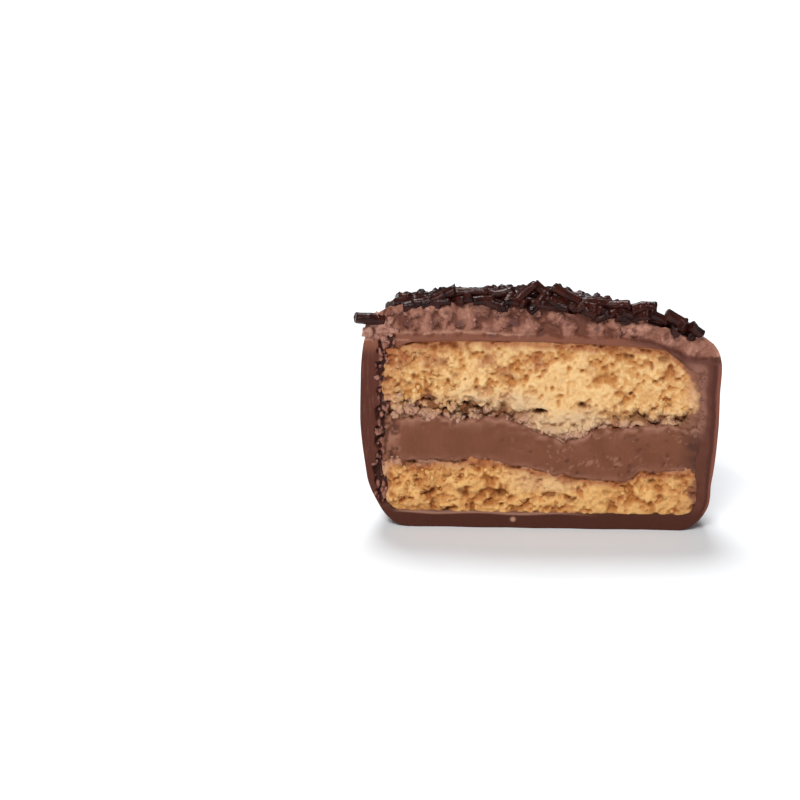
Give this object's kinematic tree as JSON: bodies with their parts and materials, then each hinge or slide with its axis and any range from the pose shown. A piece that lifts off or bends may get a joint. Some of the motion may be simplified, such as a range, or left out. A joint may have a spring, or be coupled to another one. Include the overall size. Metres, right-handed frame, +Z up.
{
  "type": "chocolate coated sandwich biscuit half",
  "caption": "Half of a round chocolate-coated sandwich biscuit, cut side showing crumbly biscuit layers and a chocolate filling, with dark chocolate strands strewn over its domed top.",
  "frame": {"origin": "on the surface that it rests on, below the middle of its box, 11.9 mm behind the cut face", "axes": "+X along the cut face, to the right as it is looked at, -Y out of the cut face, +Z up through the layers"},
  "size_m": [0.0485, 0.0238, 0.0327],
  "materials": {
    "chocolate_coat": "satin milk chocolate, matte and crumbly where it is cut, under glossy dark chocolate strands",
    "biscuit": "dry crumbly shortcake, golden, toasted at its edges",
    "chocolate_filling": "smooth matte chocolate cream with faint knife scratches"
  },
  "bodies": {
    "root": {"chocolate_coat": "chocolate_coat", "upper_biscuit": "biscuit", "chocolate_filling": "chocolate_filling", "lower_biscuit": "biscuit"}
  },
  "joints": []
}
